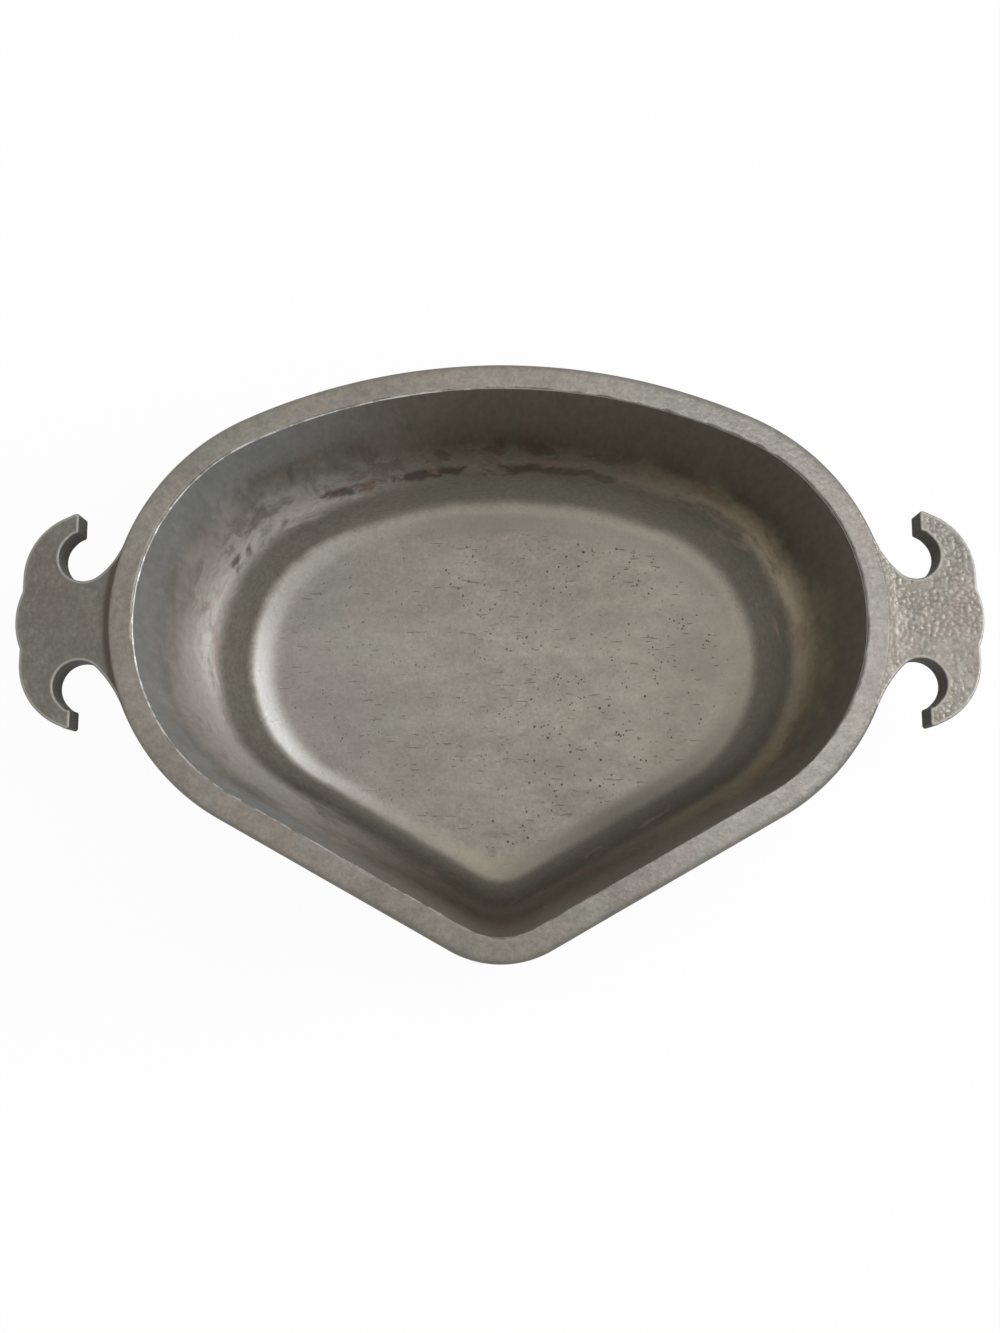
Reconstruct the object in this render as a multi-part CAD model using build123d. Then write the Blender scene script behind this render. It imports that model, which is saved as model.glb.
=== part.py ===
from build123d import *
from math import asin, cos, hypot, radians, sin, sqrt, tan
import os

# Wedge-shaped cast aluminium roasting pan with two hooked handles.
# Millimetres. +Z up, the rounded wedge point towards -Y, the handles along X.
# The origin is on the table, under the middle of the overall box.

# Plan of the rim's outer edge: a sector with its corners and its point rounded
back_radius = 214.0  # long arc at the back, drawn about the sharp point of the wedge
half_angle = 60.7  # degrees, from the middle line to a straight side
corner_radius = 79.1  # the two wide corners, which carry the handles
nose_radius = 35.2  # the point at the front

# Heights and walls
pan_height = 76.0  # table to rim
floor_thickness = 8.0
rim_width = 9.8  # flat land on top of the wall
rim_nose_inside = 23.5  # front point of the land's inner edge
rim_edge_radius = 2.5  # rounded outer edge of the land
rim_chamfer = 0.5  # worn inner edge of the land
mouth_over = 1.0  # the hollow is cut this far past the rim's top

# Casting slopes and rounded corners
outer_draft = 7.0  # degrees, leans in towards the base
inner_draft = 5.0
base_radius = 16.0  # outside, wall to base
cove_radius = 24.0  # inside, wall to dished band
dish_slope = 12.0  # degrees, where the cove meets the dished band
dish_radius = 67.0  # large arc of the band that runs out to the flat floor
floor_nose_radius = 12.0  # front point of the floor, rounder than an offset of the rim
floor_side_ease = 11.0  # the floor's straight sides lie this much nearer the rim than its back does
floor_corner_gain = 14.0  # the floor's corners are this much rounder than an offset of the rim's

# Handles: flat plates with a round hook cut into each side
handle_thickness = 10.0
handle_drop = 1.5  # top of the plate, below the rim
handle_reach = 29.3  # wall to the straight part of the plate's outer edge
handle_ahead = 0.4  # the handle's middle lies this far in front of the widest place
bump_height = 2.0  # low swelling in the middle of the outer edge
bump_half_length = 10.0
bump_run = 5.0  # stretch from the swelling's end to the hook's back
hook_back_radius = 23.2
hook_radius = 8.5  # the round notch
hook_offset = 8.6  # notch centre, outwards from the wall
back_hook_spread = 22.2  # handle's middle to the back notch's centre
front_hook_spread = 22.8
tip_offset = 2.2  # flat end of the hook, outwards from the notch centre
tip_corner_radius = 1.0
back_root_radius = 28.0  # sweep from the back notch into the wall
front_root_radius = 45.0
root_bite = 0.6  # the sweeps end this far inside the wall's outline
plate_edge_radius = 0.8
plate_root = 20.0  # how far the plate is drawn into the wall before it is cut to seat

# Worked out from the values above
half = radians(half_angle)
side_turn = half + radians(90)  # which way a straight side faces
corner_turn = half - asin(corner_radius / (back_radius - corner_radius))
corner_x = (back_radius - corner_radius) * sin(corner_turn)
corner_depth = (back_radius - corner_radius) * cos(corner_turn)
nose_gap = nose_radius / sin(half) - nose_radius  # sharp point to rounded front
point_y = -(back_radius + nose_gap) / 2  # the sharp point, with the box centred on the origin
side_x = corner_x + corner_radius  # widest place of the rim
widest_y = point_y + corner_depth
handle_y = widest_y - handle_ahead
edge_x = side_x + handle_reach
notch_x = side_x + hook_offset
tip_x = notch_x + tip_offset


def polar(centre, radius, turn):
    """Point at a turn clockwise from +Y about a centre."""
    return (centre[0] + radius * sin(turn), centre[1] + radius * cos(turn))


def ring(inset, nose, share=0.0):
    """Closed wire: the rim's outline moved inwards by inset; share is how near it is to the floor's."""
    point = (0.0, point_y)
    back = back_radius - inset
    side_inset = inset - share * floor_side_ease
    round_corner = corner_radius - inset + share * floor_corner_gain
    turn = half - asin((round_corner + side_inset) / (back - round_corner))
    corner = polar(point, back - round_corner, turn)
    nose_centre = (0.0, point_y + (side_inset + nose) / sin(half))
    right = [
        polar(point, back, turn),
        polar(corner, round_corner, (turn + side_turn) / 2),
        polar(corner, round_corner, side_turn),
        polar(nose_centre, nose, side_turn),
    ]
    left = [(-x, y) for x, y in right]
    edges = [
        ThreePointArc(left[0], (0.0, point_y + back), right[0]),
        ThreePointArc(right[0], right[1], right[2]),
        Line(right[2], right[3]),
        ThreePointArc(right[3], (0.0, nose_centre[1] - nose), left[3]),
        Line(left[3], left[2]),
        ThreePointArc(left[2], left[1], left[0]),
    ]
    return Wire(edges)


def cast_form(spans, outline_at):
    """Solid with the outline that outline_at gives at each (inset, height); each span is lofted by itself."""
    form = None
    for stations in spans:
        sections = [Pos(0, 0, z) * Face(outline_at(inset)) for inset, z in stations]
        piece = loft(sections, ruled=len(stations) == 2)
        form = piece if form is None else form + piece
    return form


def arc_stations(centre, radius, first, last, count):
    """(inset, height) along an arc; the angle is the surface's slope in degrees from level."""
    slopes = [radians(first + (last - first) * i / (count - 1)) for i in range(count)]
    return [(centre[0] - radius * sin(s), centre[1] - radius * cos(s)) for s in slopes]


def outer_form():
    """The pan filled solid, down to its flat base."""
    steep = 90 - outer_draft
    slope_run = tan(radians(outer_draft))
    shoulder_z = base_radius * (1 - cos(radians(steep)))
    shoulder_inset = (pan_height - shoulder_z) * slope_run
    centre = (shoulder_inset + base_radius * sin(radians(steep)), base_radius)
    wall = [(0.0, pan_height), (shoulder_inset, shoulder_z)]
    base = arc_stations(centre, base_radius, steep, 0, count=9)
    form = cast_form([wall, base], lambda inset: ring(inset, nose_radius - inset))
    rim_edges = form.faces().sort_by(Axis.Z)[-1].edges()
    return fillet(rim_edges, rim_edge_radius)


def cavity_form():
    """The hollow: broken edge, drafted wall, cove, then a dished band that runs out to the flat floor."""
    steep = 90 - inner_draft
    slope_run = tan(radians(inner_draft))
    dish = radians(dish_slope)
    dish_rise = dish_radius * (1 - cos(dish))
    cove_rise = cove_radius * (cos(dish) - cos(radians(steep)))
    cove_run = cove_radius * (sin(radians(steep)) - sin(dish))
    shoulder_z = floor_thickness + dish_rise + cove_rise
    edge_z = pan_height - rim_chamfer
    shoulder_inset = rim_width + (edge_z - shoulder_z) * slope_run
    cove_centre = (
        shoulder_inset + cove_radius * sin(radians(steep)),
        floor_thickness + dish_rise + cove_radius * cos(dish),
    )
    floor_inset = shoulder_inset + cove_run + dish_radius * sin(dish)
    dish_centre = (floor_inset, floor_thickness + dish_radius)

    def outline_at(inset):
        share = (inset - rim_width) / (floor_inset - rim_width)
        nose = rim_nose_inside + (floor_nose_radius - rim_nose_inside) * share
        return ring(inset, nose, share)

    mouth = [(rim_width - rim_chamfer - mouth_over, pan_height + mouth_over), (rim_width, edge_z)]
    wall = [(rim_width, edge_z), (shoulder_inset, shoulder_z)]
    cove = arc_stations(cove_centre, cove_radius, steep, dish_slope, count=8)
    band = arc_stations(dish_centre, dish_radius, dish_slope, 0, count=5)
    return cast_form([mouth, wall, cove, band], outline_at)


def hook_side(side, spread, root_radius):
    """Half of the plate's outline, from its root to the swelling; side is 1 at the back, -1 in front."""
    notch = (notch_x, spread)
    back = (edge_x - hook_back_radius, bump_half_length + bump_run)
    tip_in = (tip_x, notch[1] + sqrt(hook_radius**2 - tip_offset**2))
    tip_out = (tip_x, back[1] + sqrt(hook_back_radius**2 - (tip_x - back[0]) ** 2))
    # The sweep's circle touches the notch from outside it and an outline just inside the wall
    wall = (corner_x, side * handle_ahead)
    wall_radius = corner_radius - root_bite
    far = wall_radius + root_radius
    near = root_radius - hook_radius
    gap = hypot(notch[0] - wall[0], notch[1] - wall[1])
    along = (far**2 - near**2 + gap**2) / (2 * gap)
    across = sqrt(far**2 - along**2)
    ux, uy = (notch[0] - wall[0]) / gap, (notch[1] - wall[1]) / gap
    sweep = (wall[0] + along * ux - across * uy, wall[1] + along * uy + across * ux)
    on_wall = (
        wall[0] + (sweep[0] - wall[0]) * wall_radius / far,
        wall[1] + (sweep[1] - wall[1]) * wall_radius / far,
    )
    on_notch = (
        notch[0] + (notch[0] - sweep[0]) * hook_radius / near,
        notch[1] + (notch[1] - sweep[1]) * hook_radius / near,
    )
    middle = ((on_wall[0] + on_notch[0]) / 2 - sweep[0], (on_wall[1] + on_notch[1]) / 2 - sweep[1])
    reach = root_radius / hypot(*middle)
    sweep_mid = (sweep[0] + middle[0] * reach, sweep[1] + middle[1] * reach)
    notch_low = polar(notch, hook_radius, radians(135))
    back_mid = polar(back, hook_back_radius, radians(45))
    swell = (edge_x, bump_half_length)

    def at(point):
        return (point[0], handle_y + side * point[1])

    edges = [
        Line(at((side_x - plate_root, on_wall[1])), at(on_wall)),
        ThreePointArc(at(on_wall), at(sweep_mid), at(on_notch)),
        ThreePointArc(at(on_notch), at(notch_low), at(tip_in)),
        Line(at(tip_in), at(tip_out)),
        ThreePointArc(at(tip_out), at(back_mid), at((edge_x, back[1]))),
        Line(at((edge_x, back[1])), at(swell)),
    ]
    return edges, at((side_x - plate_root, on_wall[1])), at(swell)


def handle(outer):
    """Hooked plate on +X, cut to seat on the pan's wall."""
    upper, upper_root, upper_swell = hook_side(1, back_hook_spread, back_root_radius)
    lower, lower_root, lower_swell = hook_side(-1, front_hook_spread, front_root_radius)
    crest = (edge_x + bump_height, handle_y)
    swelling = ThreePointArc(upper_swell, crest, lower_swell)
    root = Line(upper_root, lower_root)
    plan = Face(Wire(upper + [swelling] + lower + [root]))
    tips = [corner for corner in plan.vertices() if abs(corner.X - tip_x) < tip_corner_radius / 10]
    plan = plan.fillet_2d(tip_corner_radius, tips)
    base_z = pan_height - handle_drop - handle_thickness
    plate = extrude(Pos(0, 0, base_z) * plan, handle_thickness, dir=(0, 0, 1))
    rims = plate.edges().group_by(Axis.Z)
    plate = fillet(rims[0] + rims[-1], plate_edge_radius)
    return plate - outer


os.makedirs("parts", exist_ok=True)
outer = outer_form()
right = handle(outer)
export_step(outer - cavity_form(), "parts/pan_body.step")
export_step(right, "parts/right_handle.step")
export_step(mirror(right, about=Plane.YZ), "parts/left_handle.step")
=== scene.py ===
import math
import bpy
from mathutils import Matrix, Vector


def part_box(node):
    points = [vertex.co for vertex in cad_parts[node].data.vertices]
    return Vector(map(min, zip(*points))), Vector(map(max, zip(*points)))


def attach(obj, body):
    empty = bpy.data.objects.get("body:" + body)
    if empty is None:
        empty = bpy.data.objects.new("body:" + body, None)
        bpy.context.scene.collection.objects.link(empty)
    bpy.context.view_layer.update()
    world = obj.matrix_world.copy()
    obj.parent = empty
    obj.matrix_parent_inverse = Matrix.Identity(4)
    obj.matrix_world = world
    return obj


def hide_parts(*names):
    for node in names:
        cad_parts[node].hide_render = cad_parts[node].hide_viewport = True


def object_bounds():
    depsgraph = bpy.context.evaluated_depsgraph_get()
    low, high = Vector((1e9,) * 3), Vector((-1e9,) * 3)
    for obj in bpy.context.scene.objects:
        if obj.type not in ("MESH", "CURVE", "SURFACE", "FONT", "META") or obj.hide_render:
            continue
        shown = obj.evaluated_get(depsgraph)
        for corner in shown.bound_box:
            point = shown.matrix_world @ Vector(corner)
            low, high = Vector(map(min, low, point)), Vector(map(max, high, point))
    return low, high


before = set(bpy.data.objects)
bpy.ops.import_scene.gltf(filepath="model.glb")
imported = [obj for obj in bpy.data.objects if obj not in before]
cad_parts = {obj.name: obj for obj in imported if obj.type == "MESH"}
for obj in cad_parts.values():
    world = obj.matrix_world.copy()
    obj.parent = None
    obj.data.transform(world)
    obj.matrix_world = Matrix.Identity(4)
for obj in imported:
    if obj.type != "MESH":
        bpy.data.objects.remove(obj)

from types import SimpleNamespace

import bmesh
import bpy
import numpy as np
from mathutils import Matrix, Vector

cadLow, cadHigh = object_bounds()
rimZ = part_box("pan_body")[1].z
print("frame loaded, box", [round(v, 4) for v in cadHigh - cadLow])


# Noise for the mesh shapes

def cellValue(ix, iy, iz, seed):
    # Integer cell numbers scrambled into one even value from 0 to 1
    h = (ix * 374761393 + iy * 668265263 + iz * 2147483647 + seed * 974711) & 0xFFFFFFFF
    h = ((h ^ (h >> 13)) * 1274126177) & 0xFFFFFFFF
    h = ((h ^ (h >> 16)) * 2246822519) & 0xFFFFFFFF
    return ((h ^ (h >> 15)) & 0xFFFFFF) / float(0x1000000)


def softNoise(points, size, seed):
    # Eight corner values of each cell, blended by 3t^2 - 2t^3 along x, y and z, from -1 to 1
    p = np.asarray(points, float) / size
    cell = np.floor(p).astype(np.int64)
    t = p - cell
    t = t * t * (3 - 2 * t)
    total = 0
    for dx in (0, 1):
        wx = t[..., 0] if dx else 1 - t[..., 0]
        for dy in (0, 1):
            wy = t[..., 1] if dy else 1 - t[..., 1]
            for dz in (0, 1):
                wz = t[..., 2] if dz else 1 - t[..., 2]
                value = cellValue(cell[..., 0] + dx, cell[..., 1] + dy, cell[..., 2] + dz, seed)
                total = total + wx * wy * wz * value
    return total * 2 - 1


def layeredNoise(points, size, seed, layers=3):
    # Soft noise at size, size/2, size/4, each half as strong as the one before
    total, weight = 0, 0
    for k in range(layers):
        total = total + softNoise(points, size / 2 ** k, seed + k) / 2 ** k
        weight += 1 / 2 ** k
    return total / weight


def pebbleHeight(points, size, seed):
    # One rounded grain per cell: 1 - (distance to the nearest scattered centre / 0.75 cell)^2
    grainReach = 0.75
    p = np.asarray(points, float) / size
    cell = np.floor(p).astype(np.int64)
    nearest = np.full(p.shape[:-1], 9.0)
    for dx in (-1, 0, 1):
        for dy in (-1, 0, 1):
            for dz in (-1, 0, 1):
                c = cell + (dx, dy, dz)
                spots = [cellValue(c[..., 0], c[..., 1], c[..., 2], seed + k) for k in (0, 50, 100)]
                gap = np.stack([c[..., k] + spots[k] - p[..., k] for k in range(3)], -1)
                nearest = np.minimum(nearest, (gap ** 2).sum(-1))
    return np.clip(1 - nearest / grainReach ** 2, 0, 1)


def rise(values, low, high):
    # 0 below low, 1 above high, 3t^2 - 2t^3 between
    t = np.clip((values - low) / (high - low), 0, 1)
    return t * t * (3 - 2 * t)


def roundDrop(radius, gap):
    # How far a rounded edge has dropped at a distance from it: r - sqrt(r^2 - (r - gap)^2)
    return radius - np.sqrt(np.maximum(radius ** 2 - np.maximum(radius - gap, 0) ** 2, 0))


# Pan: metres and degrees, as its own solid has them

pan = {
    "backRadius": 0.214, "halfAngle": 60.7, "cornerRadius": 0.0791, "noseRadius": 0.0352,
    "floorThickness": 0.008, "rimWidth": 0.0098, "rimNoseInside": 0.0235,
    "rimEdge": 0.0025, "rimChamfer": 0.0005,
    "outerDraft": 7.0, "innerDraft": 5.0, "baseRadius": 0.016,
    "coveRadius": 0.024, "dishSlope": 12.0, "dishRadius": 0.067,
    "floorNose": 0.012, "floorSideEase": 0.011, "floorCornerGain": 0.014,
    "middleShare": 0.52,         # where the rows close up, as a share of backRadius from the point
    "columns": 560,              # round the outline
    "rows": {"base": 9, "baseRound": 12, "outside": 50, "edge": 9, "land": 8,
             "wall": 26, "cove": 20, "dish": 12, "floor": 26},
    "pebbleSize": 0.0034, "pebbleDepth": 0.00022,   # cast skin outside
    "roughSize": 0.006, "skinSunk": 0.0003,
    "skinFrom": (0.0005, 0.008), "skinTo": (0.006, 0.002),   # above the base, below the rim
    "swellSize": 0.045, "swellOutside": 0.00021, "swellInside": 0.0001925,   # slow swell of the casting
    "dentSize": 0.016, "dentDepth": 0.00008, "smoothBelowRim": (0.012, 0.002),
    "nickSize": 0.0035, "nickDepth": 0.000352, "nickReach": 0.003,   # ragged inner edge of the rim
    "landSize": 0.02, "landDepth": 0.00006,
    # The first pair below sets where painted shade on the rim's rounded outer edge fades in
    "paintedEdgeShadeDrop": (0.00001, 0.0009), "floorFrom": (0.0405, 0.046),   # where the marks fade in
}
outsidePart, rimPart, lipPart, wallPart, dishPart, floorPart = range(6)
halfAngle = math.radians(pan["halfAngle"])
sideTurn = halfAngle + math.pi / 2       # which way a straight side faces
cornerTurn = halfAngle - math.asin(pan["cornerRadius"] / (pan["backRadius"] - pan["cornerRadius"]))
cornerX = (pan["backRadius"] - pan["cornerRadius"]) * math.sin(cornerTurn)
cornerDepth = (pan["backRadius"] - pan["cornerRadius"]) * math.cos(cornerTurn)
noseGap = pan["noseRadius"] / math.sin(halfAngle) - pan["noseRadius"]
pointY = -(pan["backRadius"] + noseGap) / 2   # the wedge's sharp point
widestY = pointY + cornerDepth
sideX = cornerX + pan["cornerRadius"]


def outline(around, inset, nose, near):
    # Once round the pan clockwise from the middle of the back: arc about the sharp point, corner arc,
    # straight side, nose arc, and the mirror image. inset moves a row inwards, nose is its front
    # radius, and near, from 0 at the rim to 1 at the floor, turns the one outline into the other
    inset, nose, near = inset[:, None], nose[:, None], near[:, None]
    foot = cornerX * math.sin(halfAngle) + cornerDepth * math.cos(halfAngle)
    lengths = np.array([
        pan["backRadius"] * cornerTurn,
        pan["cornerRadius"] * (sideTurn - cornerTurn),
        foot - pan["noseRadius"] / math.tan(halfAngle),
        pan["noseRadius"] * (math.pi - sideTurn),
    ])
    ends = np.cumsum(lengths) / lengths.sum()
    q = (1 - np.abs(1 - 2 * around))[None, :]
    sign = np.where(around < 0.5, 1.0, -1.0)
    radius = pan["backRadius"] - inset
    sideInset = inset - near * pan["floorSideEase"]
    corner = pan["cornerRadius"] - inset + near * pan["floorCornerGain"]
    turn = halfAngle - np.arcsin((corner + sideInset) / (radius - corner))
    midX = (radius - corner) * np.sin(turn)
    midY = pointY + (radius - corner) * np.cos(turn)
    noseY = pointY + (sideInset + nose) / math.sin(halfAngle)
    backTurn = turn * q / ends[0]
    back = radius * np.sin(backTurn), pointY + radius * np.cos(backTurn)
    bendTurn = turn + (sideTurn - turn) * (q - ends[0]) / (ends[1] - ends[0])
    bend = midX + corner * np.sin(bendTurn), midY + corner * np.cos(bendTurn)
    a = midX + corner * math.sin(sideTurn), midY + corner * math.cos(sideTurn)
    b = nose * math.sin(sideTurn), noseY + nose * math.cos(sideTurn)
    along = (q - ends[1]) / (ends[2] - ends[1])
    side = a[0] + (b[0] - a[0]) * along, a[1] + (b[1] - a[1]) * along
    frontTurn = sideTurn + (math.pi - sideTurn) * (q - ends[2]) / (1 - ends[2])
    front = nose * np.sin(frontTurn), noseY + nose * np.cos(frontTurn)
    pick = [np.broadcast_to(q <= e, backTurn.shape) for e in ends[:3]]
    pick.append(np.ones_like(backTurn, bool))
    x = np.select(pick, [back[0], bend[0], side[0], front[0]])
    y = np.select(pick, [back[1], bend[1], side[1], front[1]])
    return sign[None, :] * x, y


def panProfile():
    # Rows from the middle of the base, up the outside, over the rim and down to the middle of the
    # floor: inset from the rim's outline, height, share of the way out from the middle, and part.
    # On a rounded stretch they are its centre less, or plus, the radius times sine and cosine
    rows, count, edge, chamfer = [], pan["rows"], pan["rimEdge"], pan["rimChamfer"]
    draft, low = math.radians(pan["outerDraft"]), math.radians(90 - pan["outerDraft"])
    lean, baseRadius = math.tan(draft), pan["baseRadius"]
    shoulderZ = baseRadius * (1 - math.cos(low))
    centreIn = (rimZ - shoulderZ) * lean + baseRadius * math.sin(low)
    for k in np.linspace(0.08, 0.94, count["base"]):
        rows.append((centreIn, 0.0, k, outsidePart))
    for s in np.linspace(0, low, count["baseRound"]):
        z = baseRadius * (1 - math.cos(s))
        rows.append((centreIn - baseRadius * math.sin(s), z, 1, outsidePart))
    edgeLow = math.radians(90 + pan["outerDraft"])
    edgeIn = edge / math.cos(draft) + edge * lean
    edgeStart = rimZ - edge + edge * math.cos(edgeLow)
    for z in np.linspace(shoulderZ, edgeStart, count["outside"] + 2)[1:-1]:
        rows.append(((rimZ - z) * lean, z, 1, outsidePart))
    for s in np.linspace(edgeLow, 0, count["edge"]):
        rows.append((edgeIn - edge * math.sin(s), rimZ - edge + edge * math.cos(s), 1, rimPart))
    for inset in np.linspace(edgeIn, pan["rimWidth"] - chamfer, count["land"])[1:]:
        rows.append((inset, rimZ, 1, rimPart))
    for k in (0.12, 0.5, 0.88, 1.0):
        rows.append((pan["rimWidth"] - chamfer * (1 - k), rimZ - chamfer * k, 1, lipPart))

    steep, dish = math.radians(90 - pan["innerDraft"]), math.radians(pan["dishSlope"])
    slope, cove = math.tan(math.radians(pan["innerDraft"])), pan["coveRadius"]
    lipZ = rimZ - chamfer
    dishZ = pan["floorThickness"] + pan["dishRadius"] * (1 - math.cos(dish))
    coveZ = dishZ + cove * math.cos(dish)
    wallZ = coveZ - cove * math.cos(steep)
    coveIn = pan["rimWidth"] + (lipZ - wallZ) * slope + cove * math.sin(steep)
    floorIn = coveIn + (pan["dishRadius"] - cove) * math.sin(dish)
    justBelow = 0.00012          # a close row keeps the lip crisp
    for z in np.r_[lipZ - justBelow, np.linspace(lipZ, wallZ, count["wall"])[1:-1]]:
        rows.append((pan["rimWidth"] + (lipZ - z) * slope, z, 1, wallPart))
    for s in np.linspace(steep, dish, count["cove"]):
        rows.append((coveIn - cove * math.sin(s), coveZ - cove * math.cos(s), 1, wallPart))
    for s in np.linspace(dish, 0, count["dish"])[1:]:
        z = pan["floorThickness"] + pan["dishRadius"] * (1 - math.cos(s))
        rows.append((floorIn - pan["dishRadius"] * math.sin(s), z, 1, dishPart))
    for k in np.linspace(0.97, 0.04, count["floor"]):
        rows.append((floorIn, pan["floorThickness"], k, floorPart))

    # Front radius of each row, and how near its outline is to the floor's
    inset, z, shrink, part = np.array(rows).T
    within = part >= lipPart
    near = np.where(within, (inset - pan["rimWidth"]) / (floorIn - pan["rimWidth"]), 0)
    landShare = np.clip((inset - edgeIn) / (pan["rimWidth"] - edgeIn), 0, 1) * (part == rimPart)
    sharpening = pan["noseRadius"] - pan["rimWidth"] - pan["rimNoseInside"]
    outerNose = pan["noseRadius"] - inset - landShare * sharpening
    innerNose = pan["rimNoseInside"] + (pan["floorNose"] - pan["rimNoseInside"]) * near
    return inset, z, shrink, np.where(within, innerNose, outerNose), near, part


def gridNormals(p):
    # Cross product of the steps along the rows and round the columns, set to length 1
    down = np.gradient(p, axis=0)
    wrapped = np.concatenate([p[:, -1:], p, p[:, :1]], 1)
    across = (wrapped[:, 2:] - wrapped[:, :-2]) / 2
    n = np.cross(down, across)
    return n / np.maximum(np.linalg.norm(n, axis=2, keepdims=True), 1e-12)


def addMesh(name, verts, faces, marks):
    mesh = bpy.data.meshes.new(name)
    mesh.from_pydata(verts.tolist(), [], faces)
    for key, values in marks.items():
        layer = mesh.attributes.new(key, "FLOAT", "POINT")
        layer.data.foreach_set("value", np.asarray(values, np.float32).ravel())
    mesh.polygons.foreach_set("use_smooth", [True] * len(mesh.polygons))
    mesh.update()
    thing = bpy.data.objects.new(name, mesh)
    bpy.context.scene.collection.objects.link(thing)
    return thing


def panRelief(p, z, part):
    # How far each point stands out: pebbles and swell outside, swell and dents inside,
    # nicks along the lip and a slight unevenness of the land, each noise times its depth
    part, skinFrom, skinTo = part[:, None], pan["skinFrom"], pan["skinTo"]
    outside = (part == outsidePart) * rise(z, *skinFrom)[:, None]
    outside = outside * (1 - rise(z, rimZ - skinTo[0], rimZ - skinTo[1]))[:, None]
    skin = pebbleHeight(p, pan["pebbleSize"], seed=11) - 0.4
    skin = skin + 0.5 * layeredNoise(p, pan["roughSize"], seed=21)
    swell = layeredNoise(p, pan["swellSize"], seed=31, layers=2)
    out = outside * (skin * pan["pebbleDepth"] - pan["skinSunk"] + swell * pan["swellOutside"])
    calmFrom, calmTo = (rimZ - reach for reach in pan["smoothBelowRim"])
    inside = (part >= wallPart) * (1 - rise(z, calmFrom, calmTo))[:, None]
    dents = layeredNoise(p, pan["dentSize"], seed=41, layers=2)
    out = out + inside * (swell * pan["swellInside"] + dents * pan["dentDepth"])
    nicked = (part == lipPart) | ((part == wallPart) & (z > rimZ - pan["nickReach"])[:, None])
    nicks = np.minimum(layeredNoise(p, pan["nickSize"], seed=51), 0.1) - 0.1
    out = out + nicked * nicks * pan["nickDepth"]
    land = (layeredNoise(p, pan["landSize"], seed=61) - 1) * pan["landDepth"]
    return out + (part == rimPart) * land


def makePan():
    # Outline at each row of the profile, moved along the normals by the relief, with a pole in the
    # middle of the base and of the floor
    inset, z, shrink, nose, near, part = panProfile()
    rows, columns = len(z), pan["columns"]
    x, y = outline(np.arange(columns) / columns, inset, nose, near)
    middleY = pointY + pan["middleShare"] * pan["backRadius"]
    x = x * shrink[:, None]
    y = middleY + (y - middleY) * shrink[:, None]
    p = np.stack([x, y, np.broadcast_to(z[:, None], x.shape)], 2)
    p = p + gridNormals(p) * panRelief(p, z, part)[:, :, None]
    poles = np.array([[0, middleY, 0], [0, middleY, pan["floorThickness"]]])
    verts = np.concatenate([p.reshape(-1, 3), poles])
    index = np.arange(rows * columns).reshape(rows, columns)
    a, b = index[:-1], np.roll(index[:-1], -1, 1)
    d, c = index[1:], np.roll(index[1:], -1, 1)
    faces = np.stack([a, d, c, b], 2).reshape(-1, 4).tolist()
    first, last = index[0], index[-1]
    start, end = rows * columns, rows * columns + 1
    faces += np.stack([np.full(columns, start), first, np.roll(first, -1)], 1).tolist()
    faces += np.stack([np.full(columns, end), np.roll(last, -1), last], 1).tolist()

    def spread(rowValues, atFloorPole):
        return np.concatenate([np.repeat(rowValues, columns), [0, atFloorPole]])

    inside = part >= wallPart
    around = 1 - np.abs(1 - 2 * np.arange(columns) / columns)
    floorShare = np.where(part == floorPart, 1.0, rise(inset, *pan["floorFrom"]) * inside)
    marks = {
        "rim": spread(part == rimPart, 0),
        "lip": spread(part == lipPart, 0),
        "inside": spread(inside, 1),
        "edge": spread(rise(rimZ - z, *pan["paintedEdgeShadeDrop"]) * (part == rimPart), 0),
        "wayDown": spread(np.clip(inset / inset.max(), 0, 1) * inside, 1),
        "wayRound": np.r_[np.tile(around, rows), 0, 0],
        "floor": spread(floorShare, 1),
    }
    return addMesh("panCasting", verts, faces, marks)


panPiece = makePan()
print("pan made,", len(panPiece.data.polygons), "faces")


# Handles: a plate is two halves, each ruled between its hook side and its outer side

plate = {
    "thickness": 0.010, "drop": 0.0015, "reach": 0.0293, "ahead": 0.0004,
    "bumpHeight": 0.002, "bumpHalf": 0.010, "bumpRun": 0.005, "backRadius": 0.0232,
    "hookRadius": 0.0085, "hookOffset": 0.0086, "backSpread": 0.0222, "frontSpread": 0.0228,
    "tipOffset": 0.0022, "tipCorner": 0.001, "backRoot": 0.028, "frontRoot": 0.045,
    "rootBite": 0.0006, "edgeRadius": 0.0008,
    "hiddenRoot": 0.006,         # how far the plate runs on inside the pan's wall
    "pebbleSize": 0.0018, "wornSize": 0.012, "rippleSize": 0.010, "rippleDepth": 0.00012,
    "calmEdge": (0.0004, 0.0022), "calmWall": (-0.0005, 0.0025),   # smooth by the edge and the wall
    "tuck": 0.0007, "tuckFrom": (0.0016, 0.004),   # dips inside the wall, clear of the rim's top
    "edgeMark": 0.004, "seamMark": 0.0045,
    "fanColumns": 190, "neckColumns": 100, "middleRows": 66,
    "edgeRows": (0, 0.003, 0.010, 0.021, 0.036, 0.055, 0.078),
    "sideRings": (0.2, 0.4, 0.6, 0.8),
}
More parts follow.
